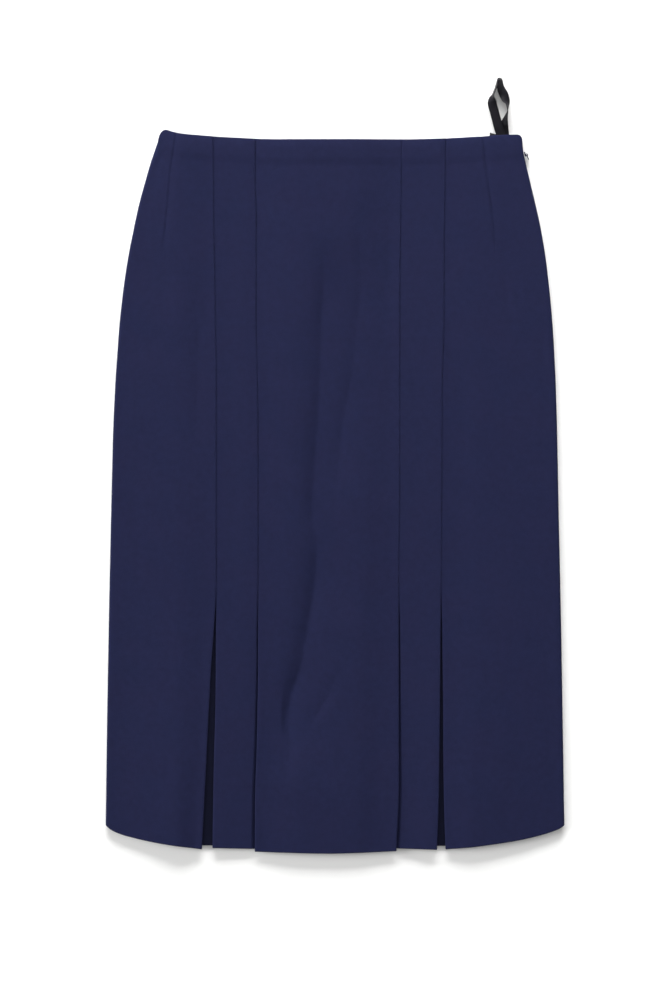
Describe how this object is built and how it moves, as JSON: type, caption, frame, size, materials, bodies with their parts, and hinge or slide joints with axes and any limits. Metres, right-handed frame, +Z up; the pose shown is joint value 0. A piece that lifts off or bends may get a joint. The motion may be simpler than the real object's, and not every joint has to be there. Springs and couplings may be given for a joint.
{
  "type": "a-line skirt laid flat",
  "caption": "Knee-length navy a-line skirt with panel seams, open pleats at the front, a ribbon hanger loop and a side zip, laid flat on its back.",
  "frame": {"origin": "on the flat underside of the back panel, on the centre line, about half way between waist and hem", "axes": "+Y along the skirt towards its waist, +X towards its right side as seen from above, +Z up through the cloth"},
  "size_m": [0.4497, 0.7599, 0.0099],
  "materials": {
    "navy_cloth": "matte",
    "navy_cloth_inner": "matte",
    "black_ribbon": "satin",
    "zip_tape": "matte",
    "zip_metal": "satin"
  },
  "bodies": {
    "skirt": {"back_panel": "navy_cloth_inner", "front_centre_panel": "navy_cloth", "front_narrow_panel_left": "navy_cloth", "front_narrow_panel_right": "navy_cloth", "side_front_panel_left": "navy_cloth", "side_front_panel_right": "navy_cloth", "pleat_underlay_left": "navy_cloth_inner", "pleat_underlay_right": "navy_cloth_inner", "hanger_loop": "black_ribbon", "zip_tape": "zip_tape", "zip_slider": "zip_metal"},
    "tab": {"zip_pull": "zip_metal"}
  },
  "joints": [
    {"name": "pull_hinge", "type": "hinge", "parent": "skirt", "child": "tab", "pos_m": [0.18793, 0.33448, 0.0026], "axis": [0, 0, 1], "range_deg": [-20, 155]}
  ]
}
